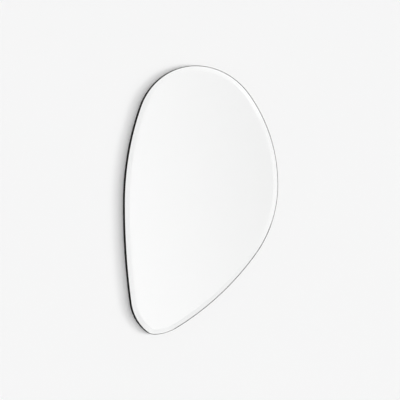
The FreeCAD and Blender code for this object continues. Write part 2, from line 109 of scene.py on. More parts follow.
class OutlineSettings(bpy.types.PropertyGroup):
    """Outline of the mirror, measured outside the band: ten arcs, tangent where they meet."""

    right_point: distance("Right point", "Furthest right point, above the middle", 45 * MM)
    left_point: distance("Left point", "Furthest left point, above the middle", -15 * MM)
    top_point: distance("Top point", "Highest point, right of the middle", -15 * MM)
    tip_from_left: distance("Tip", "Lowest point, from the left side", 95 * MM)
    upper_right_turn: turn("Upper right", "Turn of the side arc", 39)
    upper_left_turn: turn("Upper left", "Turn of the side arc", 20)
    lower_left_turn: turn("Lower left", "Turn of the side arc", 8)
    lower_left_tip_turn: turn("Lower left tip", "Turn where the tip arc starts", 52)
    lower_right_turn: turn("Lower right", "Turn of the side arc", 39)
    lower_right_tip_turn: turn("Lower right tip", "Turn where the tip arc starts", 62)
    tip_left_radius: distance("Tip, left", "Radius left of the lowest point", 39 * MM)
    tip_right_radius: distance("Tip, right", "Radius right of the lowest point", 150 * MM)


class PaneSettings(bpy.types.PropertyGroup):
    """Glass pane and the silver on its back."""

    bevel_width: distance("Bevel width", "Width of the bevel across the face", 15 * MM)
    bevel_drop: distance("Bevel drop", "Drop of the bevel at the pane's edge", 2 * MM)
    air_gap: distance("Air gap", "Gap that keeps glass and silver faces apart", 0.05 * MM)
    # Painted shade: share of the tint kept on the bevel's lower, downward-facing side
    bevel_painted_shade_share: amount("Bevel clarity", "Light that the bevel's duller lower side lets by", 0.92)
    tint: colour("Tint", "Faint green of clear float glass", (0.9985, 1.0, 0.9992))
    silver: colour("Silver", "Reflection of the silver", (0.966, 0.966, 0.966))
    paint: colour("Paint", "Protective paint on the back of the silver", (0.16, 0.18, 0.185))


class BandSettings(bpy.types.PropertyGroup):
    """Black steel strip round the mirror, with its welded tabs."""

    thickness: distance("Thickness", "Wall of the strip with its coat", 1.44 * MM)
    edge_radius: distance("Edge radius", "Rounding of the strip's edges", 0.45 * MM)
    tab_width: distance("Tab width", "Width of a tab", 14 * MM)
    tab_reach: distance("Tab reach", "From the strip to the tab's screw", 10 * MM)
    tab_thickness: distance("Tab thickness", "Sheet of the tab", 1.5 * MM)
    hole_radius: distance("Screw hole", "Radius of the tab's screw hole", 1.6 * MM)
    sink_radius: distance("Countersink", "Radius of the hole's countersink", 3.1 * MM)
    weld: distance("Weld bead", "Height of the weld bead at a tab's root", 0.75 * MM)
    black: colour("Black", "Powder coat", (0.003, 0.003, 0.0031))
    worn: colour("Worn edge", "Powder coat polished along its edges", (0.014, 0.014, 0.0142))


class BackSettings(bpy.types.PropertyGroup):
    """Board, hangers, screws, tape, adhesive and pads."""

    board_edge: distance("Board edges", "Softening of the board's cut edges", 0.3 * MM)
    plate_edge: distance("Plate edges", "Rounding of the stamped plates' edges", 0.2 * MM)
    head_radius: distance("Screw head", "Radius of a screw's head", 3.0 * MM)
    shank_radius: distance("Screw shank", "Radius over a screw's thread", 1.5 * MM)
    pitch: distance("Thread pitch", "From one turn of the thread to the next", 1.2 * MM)
    recess: distance("Recess", "Reach of the cross recess from wing to wing", 3.3 * MM)
    fibre_light: colour("Fibre, light", "Lighter fibres of the board", (0.52, 0.365, 0.225))
    fibre_dark: colour("Fibre, dark", "Darker fibres of the board", (0.34, 0.225, 0.13))
    zinc: colour("Zinc", "Bright zinc of the plates", (0.66, 0.67, 0.68))
    screw_zinc: colour("Yellow zinc", "Faintly yellow zinc of the screws", (0.72, 0.63, 0.44))
    felt: colour("Felt", "Dense black felt", (0.02, 0.02, 0.021))
    foam: colour("Foam", "Closed-cell foam of the tape", (0.80, 0.80, 0.77))
    glue: colour("Adhesive", "Cured neutral adhesive", (0.68, 0.67, 0.62))


class StudioSettings(bpy.types.PropertyGroup):
    """Wall, floor, lamps, the room that shows in the mirror, and the camera."""

    camera_turn: turn("Camera turn", "Camera's azimuth, 0 looking along +Y", -22.4)
    camera_distance: distance("Camera distance", "From the camera to its aim", 3.0)
    frame_width: distance("Frame width", "Width of the view at the aim", 1.2053)
    aim: bpy.props.FloatVectorProperty(
        name="Aim", description="Point the camera looks at", default=(-8 * MM, -6 * MM, -3.2 * MM),
        subtype="TRANSLATION",
    )
    backdrop_level: amount("Backdrop level", "Grey of wall and floor as shown, 0 to 255", 246)
    floor_drop: distance("Floor", "Floor, below the mirror's middle", 1.3)
    low_height: turn("Low key", "Low key light's height above the wall, from the right", 28)
    low_size: turn("Low key size", "Angle that the low key light fills", 18)
    low_share: amount("Low key share", "Low key light's share of the light on the wall", 0.2)
    high_height: turn("High key", "High key light's height above the wall, from the right", 52)
    high_size: turn("High key size", "Angle that the high key light fills", 34)
    high_share: amount("High key share", "High key light's share of the light on the wall", 0.228)
    near_height: turn("Near key", "Steepest key light's height above the wall", 79)
    near_size: turn("Near key size", "Angle that the steepest key light fills", 14)
    near_share: amount("Near key share", "Steepest key light's share of the light on the wall", 0.13)
    key_drop: turn("Key drop", "How far below level the key lights come from", 5)
    ahead_height: turn("Even light", "Height above level of the even light from ahead", 54)
    ahead_size: turn("Even light size", "Angle that the even light fills", 30)
    ambient: amount("Ambient", "Share of the light that comes from all round", 0.04)
    wall_light: amount("Wall light", "All light on the wall, 1 showing its grey as it is", 0.993)
    back_strength: amount("Back light", "Strength of the lamp that lights the back", 1.85)
    back_fill_strength: amount("Back fill", "Strength of the softer lamp behind", 1.3)


SETTINGS = {
    "mirror_outline": OutlineSettings,
    "mirror_pane": PaneSettings,
    "mirror_band": BandSettings,
    "mirror_back": BackSettings,
    "mirror_studio": StudioSettings,
}

# ---------------------------------------------------------------- outline

LONGEST_STEP = 4 * MM
LARGEST_TURN = math.radians(2.5)


def quadrant_radii(turns, across, up, tip_radius=None):
    """Radii, from the side on, of the arcs that carry a quadrant over its two reaches."""
    angles = [0.0, *turns, math.pi / 2]
    across_shares = [math.cos(a) - math.cos(b) for a, b in zip(angles, angles[1:])]
    up_shares = [math.sin(b) - math.sin(a) for a, b in zip(angles, angles[1:])]
    given = []
    if tip_radius is not None:
        across -= tip_radius * across_shares[-1]
        up -= tip_radius * up_shares[-1]
        given = [tip_radius]
    cross = across_shares[0] * up_shares[1] - across_shares[1] * up_shares[0]
    first = (across * up_shares[1] - across_shares[1] * up) / cross
    second = (across_shares[0] * up - across * up_shares[0]) / cross
    return [first, second, *given]


def outward(angle):
    """Unit vector in the plane of the mirror, as (x, z)."""
    return Vector((math.cos(angle), math.sin(angle)))


def outline_arcs(shape):
    """Centre, radius, start and end of each arc, counter-clockwise from the right point."""
    half_width = (BAND_HIGH.x - BAND_LOW.x) / 2
    half_height = (BAND_HIGH.z - BAND_LOW.z) / 2
    tip_x = shape.tip_from_left - half_width
    quadrants = (
        ([shape.upper_right_turn], half_width - shape.top_point, half_height - shape.right_point,
         None, True),
        ([shape.upper_left_turn], half_width + shape.top_point, half_height - shape.left_point,
         None, False),
        ([shape.lower_left_turn, shape.lower_left_tip_turn], half_width + tip_x,
         half_height + shape.left_point, shape.tip_left_radius, True),
        ([shape.lower_right_turn, shape.lower_right_tip_turn], half_width - tip_x,
         half_height + shape.right_point, shape.tip_right_radius, False),
    )
    arcs = []
    point = Vector((half_width, shape.right_point))
    angle = 0.0
    for turns, across, up, tip_radius, from_side in quadrants:
        radii = quadrant_radii(turns, across, up, tip_radius)
        bounds = (0.0, *turns, math.pi / 2)
        pairs = [(b - a, radius) for a, b, radius in zip(bounds, bounds[1:], radii)]
        for sweep, radius in pairs if from_side else reversed(pairs):
            centre = point - radius * outward(angle)
            arcs.append((centre, radius, angle, angle + sweep))
            angle += sweep
            point = centre + radius * outward(angle)
    return arcs


def outline_points(shape, inset):
    """Closely spaced points (x, z) of the outline moved in, as many for every inset."""
    points = []
    for centre, radius, start, end in outline_arcs(shape):
        sweep = end - start
        steps = math.ceil(max(sweep / LARGEST_TURN, radius * sweep / LONGEST_STEP))
        for step in range(steps):
            points.append(centre + (radius - inset) * outward(start + sweep * step / steps))
    return points


# ---------------------------------------------------------------- meshes


def new_object(name, mesh):
    """Object at the origin that holds a mesh."""
    obj = bpy.data.objects.new(name, mesh)
    bpy.context.scene.collection.objects.link(obj)
    return obj


def mesh_of(name, bm):
    """Mesh of a bmesh, with its faces turned outwards."""
    bmesh.ops.recalc_face_normals(bm, faces=bm.faces)
    mesh = bpy.data.meshes.new(name)
    bm.to_mesh(mesh)
    bm.free()
    return mesh


def loft(name, rings, closed=False):
    """Mesh through rings with as many points each; its ends are capped, or joined if closed."""
    bm = bmesh.new()
    rows = [[bm.verts.new(point) for point in ring] for ring in rings]
    pairs = list(zip(rows, rows[1:]))
    if closed:
        pairs.append((rows[-1], rows[0]))
    else:
        bm.faces.new(rows[0])
        bm.faces.new(rows[-1])
    for here, there in pairs:
        for a, b, c, d in zip(here, here[1:] + here[:1], there[1:] + there[:1], there):
            bm.faces.new((a, b, c, d))
    return mesh_of(name, bm)


def shade(mesh, sharp_above, flat_faces=False):
    """Smooth shading except over edges sharper than this angle and, if asked, on faces in XZ."""
    mesh.shade_smooth()
    mesh.set_sharp_from_angle(angle=math.radians(sharp_above))
    if flat_faces:
        for face in mesh.polygons:
            face.use_smooth = abs(face.normal.y) < 0.9999


def baked(obj):
    """The object's mesh as its modifiers leave it, which replaces them."""
    depsgraph = bpy.context.evaluated_depsgraph_get()
    mesh = bpy.data.meshes.new_from_object(obj.evaluated_get(depsgraph), depsgraph=depsgraph)
    obj.modifiers.clear()
    before = obj.data
    obj.data = mesh
    bpy.data.meshes.remove(before)
    return mesh


def soften(obj, radius, segments=2):
    """Round the object's sharp edges."""
    bevel = obj.modifiers.new("soft edges", "BEVEL")
    bevel.width = radius
    bevel.segments = segments
    bevel.limit_method = "ANGLE"
    bevel.angle_limit = math.radians(35)
    baked(obj)


def write_points(mesh, name, kind, values):
    """Store one value per point as a named attribute."""
    mesh.attributes.new(name, kind, "POINT").data.foreach_set("value", values)


def mark_edges(mesh, full_turn=20):
    """Store how sharply the surface turns at each point, from 0 to 1, as the attribute edge."""
    bm = bmesh.new()
    bm.from_mesh(mesh)
    shares = []
    for vert in bm.verts:
        turns = [abs(edge.calc_face_angle(0.0)) for edge in vert.link_edges]
        shares.append(min(1.0, max(turns, default=0.0) / math.radians(full_turn)))
    bm.free()
    write_points(mesh, "edge", "FLOAT", shares)


def solid_copy(node):
    """Object with a CAD node's mesh, its points merged and its flat faces joined."""
    bm = bmesh.new()
    bm.from_mesh(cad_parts[node].data)
    bmesh.ops.remove_doubles(bm, verts=bm.verts, dist=1e-6)
    bmesh.ops.dissolve_limit(
        bm, angle_limit=math.radians(0.2), verts=bm.verts, edges=bm.edges, use_dissolve_boundaries=False
    )
    return new_object(node + "_finished", mesh_of(node + "_finished", bm))


def place(obj, material, slot, *nodes):
    """Give a finished piece its material and its body, and hide the nodes it stands for. The slot is not
    used.
    """
    obj.data.materials.clear()
    obj.data.materials.append(material)
    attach(obj, BODY)
    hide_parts(*nodes)


# ---------------------------------------------------------------- node trees


def put(tree, socket, value):
    """Set an input to a value, or link an output to it."""
    if isinstance(value, bpy.types.NodeSocket):
        tree.links.new(value, socket)
    else:
        socket.default_value = value


def add(tree, kind, values=None, **settings):
    """Node of a kind in a tree, with its settings and what its inputs get."""
    node = tree.nodes.new(kind)
    for name, setting in settings.items():
        setattr(node, name, setting)
    for name, value in (values or {}).items():
        put(tree, node.inputs[name], value)
    return node


def made(tree, kind, values=None, **settings):
    """First output of a new node."""
    return add(tree, kind, values, **settings).outputs[0]


def maths(tree, operation, *numbers):
    """Maths on numbers or outputs; the result's output."""
    node = add(tree, "ShaderNodeMath", operation=operation)
    for socket, number in zip(node.inputs, numbers):
        put(tree, socket, number)
    return node.outputs[0]


def times(tree, a, b):
    """Product of two numbers or outputs."""
    return maths(tree, "MULTIPLY", a, b)


def mapped(tree, value, low, high, to_low=0.0, to_high=1.0):
    """A number mapped from one range to another and kept inside it."""
    values = {"Value": value, "From Min": low, "From Max": high, "To Min": to_low, "To Max": to_high}
    return made(tree, "ShaderNodeMapRange", values)


def mixed(tree, factor, a, b, blend="MIX"):
    """Mix of two colours or outputs by a factor."""
    node = add(tree, "ShaderNodeMix", data_type="RGBA", blend_type=blend)
    put(tree, node.inputs["Factor"], factor)
    for socket, value in zip((s for s in node.inputs if s.type == "RGBA"), (a, b)):
        put(tree, socket, value if isinstance(value, bpy.types.NodeSocket) else (*value, 1.0))
    return next(s for s in node.outputs if s.type == "RGBA")


def mixed_shader(tree, factor, a, b):
    """Mix of two shaders by a factor."""
    node = add(tree, "ShaderNodeMixShader", {"Fac": factor})
    for socket, shader in zip(node.inputs[1:], (a, b)):
        put(tree, socket, shader)
    return node.outputs[0]


def parts(tree, vector):
    """X, Y and Z of a vector, by name."""
    return add(tree, "ShaderNodeSeparateXYZ", {"Vector": vector}).outputs


def vector(tree, **values):
    """Vector of X, Y and Z, each 0 unless given."""
    return made(tree, "ShaderNodeCombineXYZ", values)


def noise(tree, given, detail, roughness, finer=1.0):
    """Noise on a group's own Vector and Scale."""
    scale = given["Scale"] if finer == 1.0 else times(tree, given["Scale"], finer)
    values = {"Vector": given["Vector"], "Scale": scale, "Detail": detail, "Roughness": roughness}
    return add(tree, "ShaderNodeTexNoise", values).outputs["Fac"]


def group_tree(name, kind, inputs, outputs):
    """Node group; returns the tree, what it is given and the sockets of its results."""
    tree = bpy.data.node_groups.new(name, kind)
    for direction, sockets in (("INPUT", inputs), ("OUTPUT", outputs)):
        for socket_name, socket_type, default in sockets:
            socket = tree.interface.new_socket(
                name=socket_name, in_out=direction, socket_type=socket_type
            )
            if default is not None:
                socket.default_value = default
    given = tree.nodes.new("NodeGroupInput").outputs
    return tree, given, tree.nodes.new("NodeGroupOutput").inputs


FLOAT, VECTOR, GEOMETRY = "NodeSocketFloat", "NodeSocketVector", "NodeSocketGeometry"
MATERIAL, OBJECT, INTEGER = "NodeSocketMaterial", "NodeSocketObject", "NodeSocketInt"


def grain_group():
    """Fine grain of a surface: uneven tone and height, from coarse and fine noise."""
    tree, given, result = group_tree(
        "Surface grain",
        "ShaderNodeTree",
        [("Vector", VECTOR, None), ("Scale", FLOAT, 500.0), ("Coarseness", FLOAT, 0.5)],
        [("Tone", FLOAT, None), ("Height", FLOAT, None)],
    )
    share = given["Coarseness"]
    coarse = times(tree, noise(tree, given, 4.0, 0.6), share)
    rest = maths(tree, "SUBTRACT", 1.0, share)
    fine = times(tree, noise(tree, given, 2.0, 0.5, finer=4.3), rest)
    tone = maths(tree, "ADD", coarse, fine)
    put(tree, result["Tone"], mapped(tree, tone, 0.3, 0.7))
    put(tree, result["Height"], tone)
    return tree


def wear_group():
    """Broken wear along edges: the edge attribute, torn up by noise."""
    tree, given, result = group_tree(
        "Edge wear",
        "ShaderNodeTree",
        [("Edge", FLOAT, 0.0), ("Vector", VECTOR, None), ("Scale", FLOAT, 300.0), ("Amount", FLOAT, 0.5)],
        [("Mask", FLOAT, None)],
    )
    patches = mapped(tree, noise(tree, given, 5.0, 0.65), 0.42, 0.62)
    worn = times(tree, patches, given["Edge"])
    put(tree, result["Mask"], times(tree, worn, given["Amount"]))
    return tree


def dust_group():
    """Settled dust: more where the surface faces up, in loose patches."""
    tree, given, result = group_tree(
        "Settled dust",
        "ShaderNodeTree",
        [("Vector", VECTOR, None), ("Scale", FLOAT, 900.0), ("Amount", FLOAT, 0.2)],
        [("Mask", FLOAT, None)],
    )
    facing = parts(tree, add(tree, "ShaderNodeNewGeometry").outputs["Normal"])
    upward = mapped(tree, facing["Z"], -0.2, 1.0, 0.15, 1.0)
    patches = mapped(tree, noise(tree, given, 6.0, 0.75), 0.45, 0.75)
    settled = times(tree, upward, patches)
    put(tree, result["Mask"], times(tree, settled, given["Amount"]))
    return tree


class Surface:
    """A material under construction: its tree, shader, object coordinates and shared groups."""

    def __init__(self, name, **plain):
        self.material = bpy.data.materials.new(name)
        self.material.use_nodes = True
        self.tree = self.material.node_tree
        self.shader = self.tree.nodes["Principled BSDF"]
        self.coordinates = add(self.tree, "ShaderNodeTexCoord").outputs["Object"]
        for socket, value in plain.items():
            self.shader.inputs[socket.replace("_", " ")].default_value = value

    def group(self, tree, vector=None, **values):
        """Place a shared group with its own values."""
        values["Vector"] = vector or self.coordinates
        return add(self.tree, "ShaderNodeGroup", values, node_tree=tree)

    def stretched(self, scale):
        """Object coordinates stretched by a scale along each axis."""
        return made(self.tree, "ShaderNodeMapping", {"Vector": self.coordinates, "Scale": scale})

    def edge(self):
        """The attribute that says how sharply the surface turns."""
        return add(self.tree, "ShaderNodeAttribute", attribute_name="edge").outputs["Fac"]

    def feed(self, socket, value):
        """Link an output to a socket of the shader."""
        self.tree.links.new(value, self.shader.inputs[socket])

    def bump(self, height, depth):
        """Relief of this depth in metres."""
        self.feed("Normal", made(self.tree, "ShaderNodeBump", {"Height": height, "Distance": depth}))


def shared(name, build):
    """A shared shader group, built once."""
    return bpy.data.node_groups.get(name) or build()


def grain():
    return shared("Surface grain", grain_group)


def wear():
    return shared("Edge wear", wear_group)


def dust():
    return shared("Settled dust", dust_group)


# ---------------------------------------------------------------- materials


def glass_material(pane):
    """Clear float glass, its tint darkened on the bevel's lower side, which faces down: painted shade."""
    surface = Surface("clear_float_glass", Roughness=0.0, IOR=1.52, Transmission_Weight=1.0)
    tree = surface.tree
    facing = parts(tree, add(tree, "ShaderNodeNewGeometry").outputs["True Normal"])
    # Painted shade: bevel faces that turn down get a darker base colour
    downward_bevel_shade_mask = mapped(tree, facing["Z"], -0.03, -0.12)
    dull = [pane.bevel_painted_shade_share * c for c in pane.tint]
    surface.feed("Base Color", mixed(tree, downward_bevel_shade_mask, pane.tint, dull))
    return surface.material


def silver_material(pane):
    """Bright silver towards the glass and protective paint towards the board."""
    surface = Surface("silver_and_paint")
    tree = surface.tree
    facing = parts(tree, add(tree, "ShaderNodeNewGeometry").outputs["Normal"])
    silvered = maths(tree, "LESS_THAN", facing["Y"], -0.5)
    texture = surface.group(grain(), Scale=350.0, Coarseness=0.6)
    paint = mixed(tree, texture.outputs["Tone"], [0.85 * c for c in pane.paint], pane.paint)
    surface.feed("Base Color", mixed(tree, silvered, paint, pane.silver))
    surface.feed("Metallic", silvered)
    surface.feed("Roughness", times(tree, maths(tree, "SUBTRACT", 1.0, silvered), 0.55))
    return surface.material


def band_material(band):
    """Satin black powder coat with a fine orange peel."""
    surface = Surface("satin_black_powder_coat", Specular_IOR_Level=0.08)
    tree = surface.tree
    peel = surface.group(grain(), Scale=900.0, Coarseness=0.7)
    rubbed = surface.group(wear(), Edge=surface.edge(), Scale=220.0, Amount=0.35).outputs["Mask"]
    settled = surface.group(dust(), Scale=1500.0, Amount=0.02).outputs["Mask"]
    black = mixed(tree, peel.outputs["Tone"], [0.85 * c for c in band.black], band.black)
    coat = mixed(tree, rubbed, black, band.worn)
    surface.feed("Base Color", mixed(tree, settled, coat, (0.35, 0.34, 0.32)))
    rough = mapped(tree, peel.outputs["Tone"], 0.0, 1.0, 0.52, 0.6)
    surface.feed("Roughness", maths(tree, "SUBTRACT", rough, times(tree, rubbed, 0.15)))
    surface.bump(peel.outputs["Height"], 0.03 * MM)
    return surface.material


def board_material(back):
    """Bare fibreboard: fine flecks, with lighter fuzz where it was routed."""
    surface = Surface("bare_fibreboard")
    tree = surface.tree
    flecks = surface.group(grain(), surface.stretched((1.0, 1.0, 0.5)), Scale=900.0, Coarseness=0.4)
    clouds = surface.group(grain(), Scale=28.0, Coarseness=0.8)
    depth = parts(tree, surface.coordinates)["Y"]
    routed = mapped(tree, depth, BOARD_HIGH.y - 0.2 * MM, BOARD_HIGH.y - 1.2 * MM)
    fibre = mixed(tree, flecks.outputs["Tone"], back.fibre_dark, back.fibre_light)
    shift = times(tree, clouds.outputs["Tone"], 0.25)
    fibre = mixed(tree, shift, fibre, [0.8 * c for c in back.fibre_dark])
    lighter = times(tree, routed, 0.3)
    fibre = mixed(tree, lighter, fibre, [min(1.0, 1.25 * c) for c in back.fibre_light])
    surface.feed("Base Color", fibre)
    surface.feed("Roughness", mapped(tree, flecks.outputs["Tone"], 0.0, 1.0, 0.75, 0.9))
    surface.bump(flecks.outputs["Height"], 0.08 * MM)
    return surface.material


def zinc_material(name, tone, brushed):
    """Zinc plating over rolled or turned steel, brighter where edges are rubbed."""
    surface = Surface(name, Metallic=1.0)
    tree = surface.tree
    streaks = surface.group(grain(), surface.stretched(brushed), Scale=300.0, Coarseness=0.5)
    clouds = surface.group(grain(), Scale=120.0, Coarseness=0.75)
    rubbed = surface.group(wear(), Edge=surface.edge(), Scale=500.0, Amount=0.7).outputs["Mask"]
    dull = mixed(tree, clouds.outputs["Tone"], [0.78 * c for c in tone], tone)
    surface.feed("Base Color", mixed(tree, rubbed, dull, [min(1.0, 1.25 * c) for c in tone]))
    rough = mapped(tree, streaks.outputs["Tone"], 0.0, 1.0, 0.24, 0.42)
    surface.feed("Roughness", maths(tree, "SUBTRACT", rough, times(tree, rubbed, 0.1)))
    surface.bump(streaks.outputs["Height"], 0.006 * MM)
    return surface.material


def felt_material(back):
    """Dense felt with a soft sheen."""
    surface = Surface("dense_black_felt", Roughness=1.0, Sheen_Weight=0.35, Sheen_Roughness=0.4)
    tree = surface.tree
    fibres = surface.group(grain(), Scale=1400.0, Coarseness=0.4)
    lint = surface.group(dust(), Scale=2600.0, Amount=0.25).outputs["Mask"]
    felt = mixed(tree, fibres.outputs["Tone"], [0.6 * c for c in back.felt], [1.6 * c for c in back.felt])
    surface.feed("Base Color", mixed(tree, lint, felt, (0.12, 0.12, 0.12)))
    surface.bump(fibres.outputs["Height"], 0.12 * MM)
    return surface.material


def foam_material(back):
    """Closed-cell foam of the mounting tape."""
    surface = Surface("closed_cell_foam", Roughness=0.75)
    tree = surface.tree
    cells = add(tree, "ShaderNodeTexVoronoi", {"Vector": surface.coordinates, "Scale": 2600.0})
    tone = surface.group(grain(), Scale=200.0, Coarseness=0.6).outputs["Tone"]
    surface.feed("Base Color", mixed(tree, tone, [0.9 * c for c in back.foam], back.foam))
    surface.bump(cells.outputs["Distance"], 0.1 * MM)
    return surface.material


def adhesive_material(back):
    """Cured neutral adhesive, smooth where it was squeezed out."""
    surface = Surface("cured_adhesive", Roughness=0.35, Subsurface_Weight=0.2, Subsurface_Scale=0.002)
    tree = surface.tree
    skin = surface.group(grain(), Scale=160.0, Coarseness=0.7)
    surface.feed("Base Color", mixed(tree, skin.outputs["Tone"], [0.92 * c for c in back.glue], back.glue))
    surface.bump(skin.outputs["Height"], 0.1 * MM)
    return surface.material


# ---------------------------------------------------------------- pane and band


def make_pane(shape, pane):
    """Pane with its bevel, a hair in front of the silver so that the two faces stay apart."""
    inset = BAND_HIGH.x - GLASS_HIGH.x
    back = GLASS_HIGH.y - pane.air_gap
    front = GLASS_LOW.y
    rings = [
        [(x, y, z) for x, z in outline_points(shape, inset + across)]
        for across, y in ((0.0, back), (0.0, front + pane.bevel_drop), (pane.bevel_width, front))
    ]
    mesh = loft("bevelled_pane", rings)
    shade(mesh, 5)
    return new_object("bevelled_pane", mesh)


def tab_object(band):
    """One tab about its screw hole, with the strip towards +X and a weld bead along its root."""
    root = band.tab_reach + band.thickness / 2
    half = band.tab_width / 2
    back = BOARD_HIGH.y
    front = back - band.tab_thickness
    corner = math.atan2(half, root)
    angles = sorted([math.radians(a) for a in range(0, 360, 6)] + [corner, math.tau - corner])

    def reach(angle):
        across, up = math.cos(angle), abs(math.sin(angle))
        if across < 0:
            return half
        return min(half / up if up > 1e-6 else root, root / across if across > 1e-6 else half)

    def ring(y, radius=None):
        return [
            ((radius or reach(a)) * math.cos(a), y, (radius or reach(a)) * math.sin(a)) for a in angles
        ]

    rings = [ring(back), ring(front), ring(front, band.hole_radius), ring(back, band.sink_radius)]
    tab = new_object("tab", loft("tab", rings, closed=True))
    soften(tab, 0.15 * MM)
    bm = bmesh.new()
    bm.from_mesh(tab.data)
    add_weld(bm, band, half, back)
    tab.data = mesh_of("tab", bm)
    return tab


def add_weld(bm, band, half, back):
    """Rippled weld bead in the corner between a tab's back and the strip."""
    ripples = 9
    steps = 6 * ripples
    ripple_depth = 0.28
    end_size = 0.35
    sunk = 0.1 * MM
    round_steps = 6
    rows = []
    for step in range(steps + 1):
        along = -half + 2 * half * step / steps
        crest = abs(math.sin(math.pi * ripples * step / steps))
        ripple = 1.0 - ripple_depth + ripple_depth * crest
        taper = min(1.0, end_size + 3.0 * min(step, steps - step) / steps)
        size = band.weld * ripple * taper
        centre = Vector((band.tab_reach + sunk, back - sunk))
        row = []
        for corner in range(round_steps + 1):
            angle = math.pi / 2 + math.pi / 2 * corner / round_steps
            x, y = centre + size * Vector((math.cos(angle), math.sin(angle)))
            row.append(bm.verts.new((x, y, along)))
        row.append(bm.verts.new((centre.x, centre.y, along)))
        rows.append(row)
    for here, there in zip(rows, rows[1:]):
        for a, b, c, d in zip(here, here[1:] + here[:1], there[1:] + there[:1], there):
            bm.faces.new((a, b, c, d))
    bm.faces.new(rows[0])
    bm.faces.new(rows[-1])


def joined(tree, *pieces):
    """The pieces as one geometry."""
    node = add(tree, "GeometryNodeJoinGeometry")
    for piece in pieces:
        tree.links.new(piece, node.inputs["Geometry"])
    return node.outputs[0]


def realized(tree, geometry):
    """The geometry with its instances made real."""
    return made(tree, "GeometryNodeRealizeInstances", {"Geometry": geometry})


def put_out(tree, result, geometry, material):
    """End a tree: the geometry in its material."""
    finished = made(tree, "GeometryNodeSetMaterial", {"Geometry": geometry, "Material": material})
    put(tree, result["Geometry"], finished)


def band_tree():
    """Sweeps the strip's section round the outline and sets a tab at each marked point."""
    tree, given, result = group_tree(
        "Edge band",
        "GeometryNodeTree",
        [
            ("Geometry", GEOMETRY, None),
            ("Thickness", FLOAT, 0.001),
            ("Depth", FLOAT, 0.01),
            ("Edge radius", FLOAT, 0.0003),
            ("Tab", OBJECT, None),
            ("Material", MATERIAL, None),
        ],
        [("Geometry", GEOMETRY, None)],
    )
    to_wall = {"Rotation": (math.pi / 2, 0.0, 0.0)}
    path = made(tree, "GeometryNodeMeshToCurve", {"Mesh": given["Geometry"]})
    upright = made(tree, "GeometryNodeSetCurveNormal", {"Curve": path}, mode="Z_UP")
    size = {"Width": given["Thickness"], "Height": given["Depth"]}
    section = made(tree, "GeometryNodeCurvePrimitiveQuadrilateral", size)
    fillet = {"Curve": section, "Radius": given["Edge radius"], "Count": 4}
    rounded = made(tree, "GeometryNodeFilletCurve", fillet, mode="POLY")
    down = vector(tree, Y=times(tree, given["Depth"], -0.5))
    profile = made(tree, "GeometryNodeTransform", {"Geometry": rounded, "Translation": down})
    swept = made(tree, "GeometryNodeCurveToMesh", {"Curve": upright, "Profile Curve": profile})
    strip = made(tree, "GeometryNodeTransform", {"Geometry": swept, **to_wall})

    marked = made(tree, "GeometryNodeInputNamedAttribute", {"Name": "tab"}, data_type="BOOLEAN")
    angle = made(tree, "GeometryNodeInputNamedAttribute", {"Name": "angle"}, data_type="FLOAT")
    tabs = made(tree, "GeometryNodeInstanceOnPoints", {
        "Points": made(tree, "GeometryNodeTransform", {"Geometry": given["Geometry"], **to_wall}),
        "Selection": marked,
        "Instance": add(tree, "GeometryNodeObjectInfo", {"Object": given["Tab"]}).outputs["Geometry"],
        "Rotation": vector(tree, Y=times(tree, angle, -1.0)),
    })
    put_out(tree, result, realized(tree, joined(tree, strip, tabs)), given["Material"])
    return tree


def grow(obj, tree, **values):
    """Run a geometry tree on an object with these inputs and keep the result as its mesh."""
    modifier = obj.modifiers.new(tree.name, "NODES")
    modifier.node_group = tree
    for item in tree.interface.items_tree:
        key = item.name.lower().replace(" ", "_")
        if item.in_out == "INPUT" and key in values:
            modifier[item.identifier] = values[key]
    return baked(obj)


def outward_angle_at(shape, point):
    """Outward angle of the outline nearest to a point (x, z)."""
    best = None
    for centre, radius, start, end in outline_arcs(shape):
        across = point - centre
        angle = math.atan2(across.y, across.x) % math.tau
        gap = radius - across.length
        if start <= angle <= end and gap > 0 and (best is None or gap < best[0]):
            best = (gap, angle)
    return best[1]


def screw_places(node):
    """Middle (x, z) of each screw of a CAD node, from its separate solids, left to right."""
    bm = bmesh.new()
    bm.from_mesh(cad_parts[node].data)
    bmesh.ops.remove_doubles(bm, verts=bm.verts, dist=1e-6)
    left = set(bm.verts)
    places = []
    while left:
        wave = [left.pop()]
        solid = list(wave)
        while wave:
            vert = wave.pop()
            for edge in vert.link_edges:
                other = edge.other_vert(vert)
                if other in left:
                    left.remove(other)
                    wave.append(other)
                    solid.append(other)
        xs = [v.co.x for v in solid]
        zs = [v.co.z for v in solid]
        places.append(Vector(((min(xs) + max(xs)) / 2, (min(zs) + max(zs)) / 2)))
    bm.free()
    return sorted(places, key=tuple)


def make_band(shape, band):
    """The strip and its tabs, as one welded piece."""
    points = outline_points(shape, band.thickness / 2)
    screws = screw_places("band_screws")
    count = len(points)
    mesh = bpy.data.meshes.new("edge_band_coated")
    edges = [(number, (number + 1) % count) for number in range(count)]
    mesh.from_pydata([(x, z, 0.0) for x, z in points + screws], edges, [])
    write_points(mesh, "tab", "BOOLEAN", [False] * count + [True] * len(screws))
    write_points(mesh, "angle", "FLOAT", [0.0] * count + [outward_angle_at(shape, s) for s in screws])
    obj = new_object("edge_band_coated", mesh)
    tab = tab_object(band)
    material = band_material(band)
    grow(
        obj, band_tree(), thickness=band.thickness, depth=BAND_HIGH.y - BAND_LOW.y,
        edge_radius=band.edge_radius, tab=tab, material=material,
    )
    bpy.data.meshes.remove(tab.data)
    shade(obj.data, 40)
    mark_edges(obj.data)
    place(obj, material, "black_band", "edge_band")
    return obj


# ---------------------------------------------------------------- screws


# Shares of a screw's sizes: of the recess's reach, of the head's depth, of the shank's radius
# and of the lengths of the shank and of the whole screw
WING_WIDTH = 0.27
WING_TAPER = 0.55
RECESS_DEPTH = 1.7
CORE_RADIUS = 0.7
RIDGE_RADIUS = 0.28
THREAD_LENGTH = 0.96
POINT_LENGTH = 0.3
POINT_WIDTH = 0.04


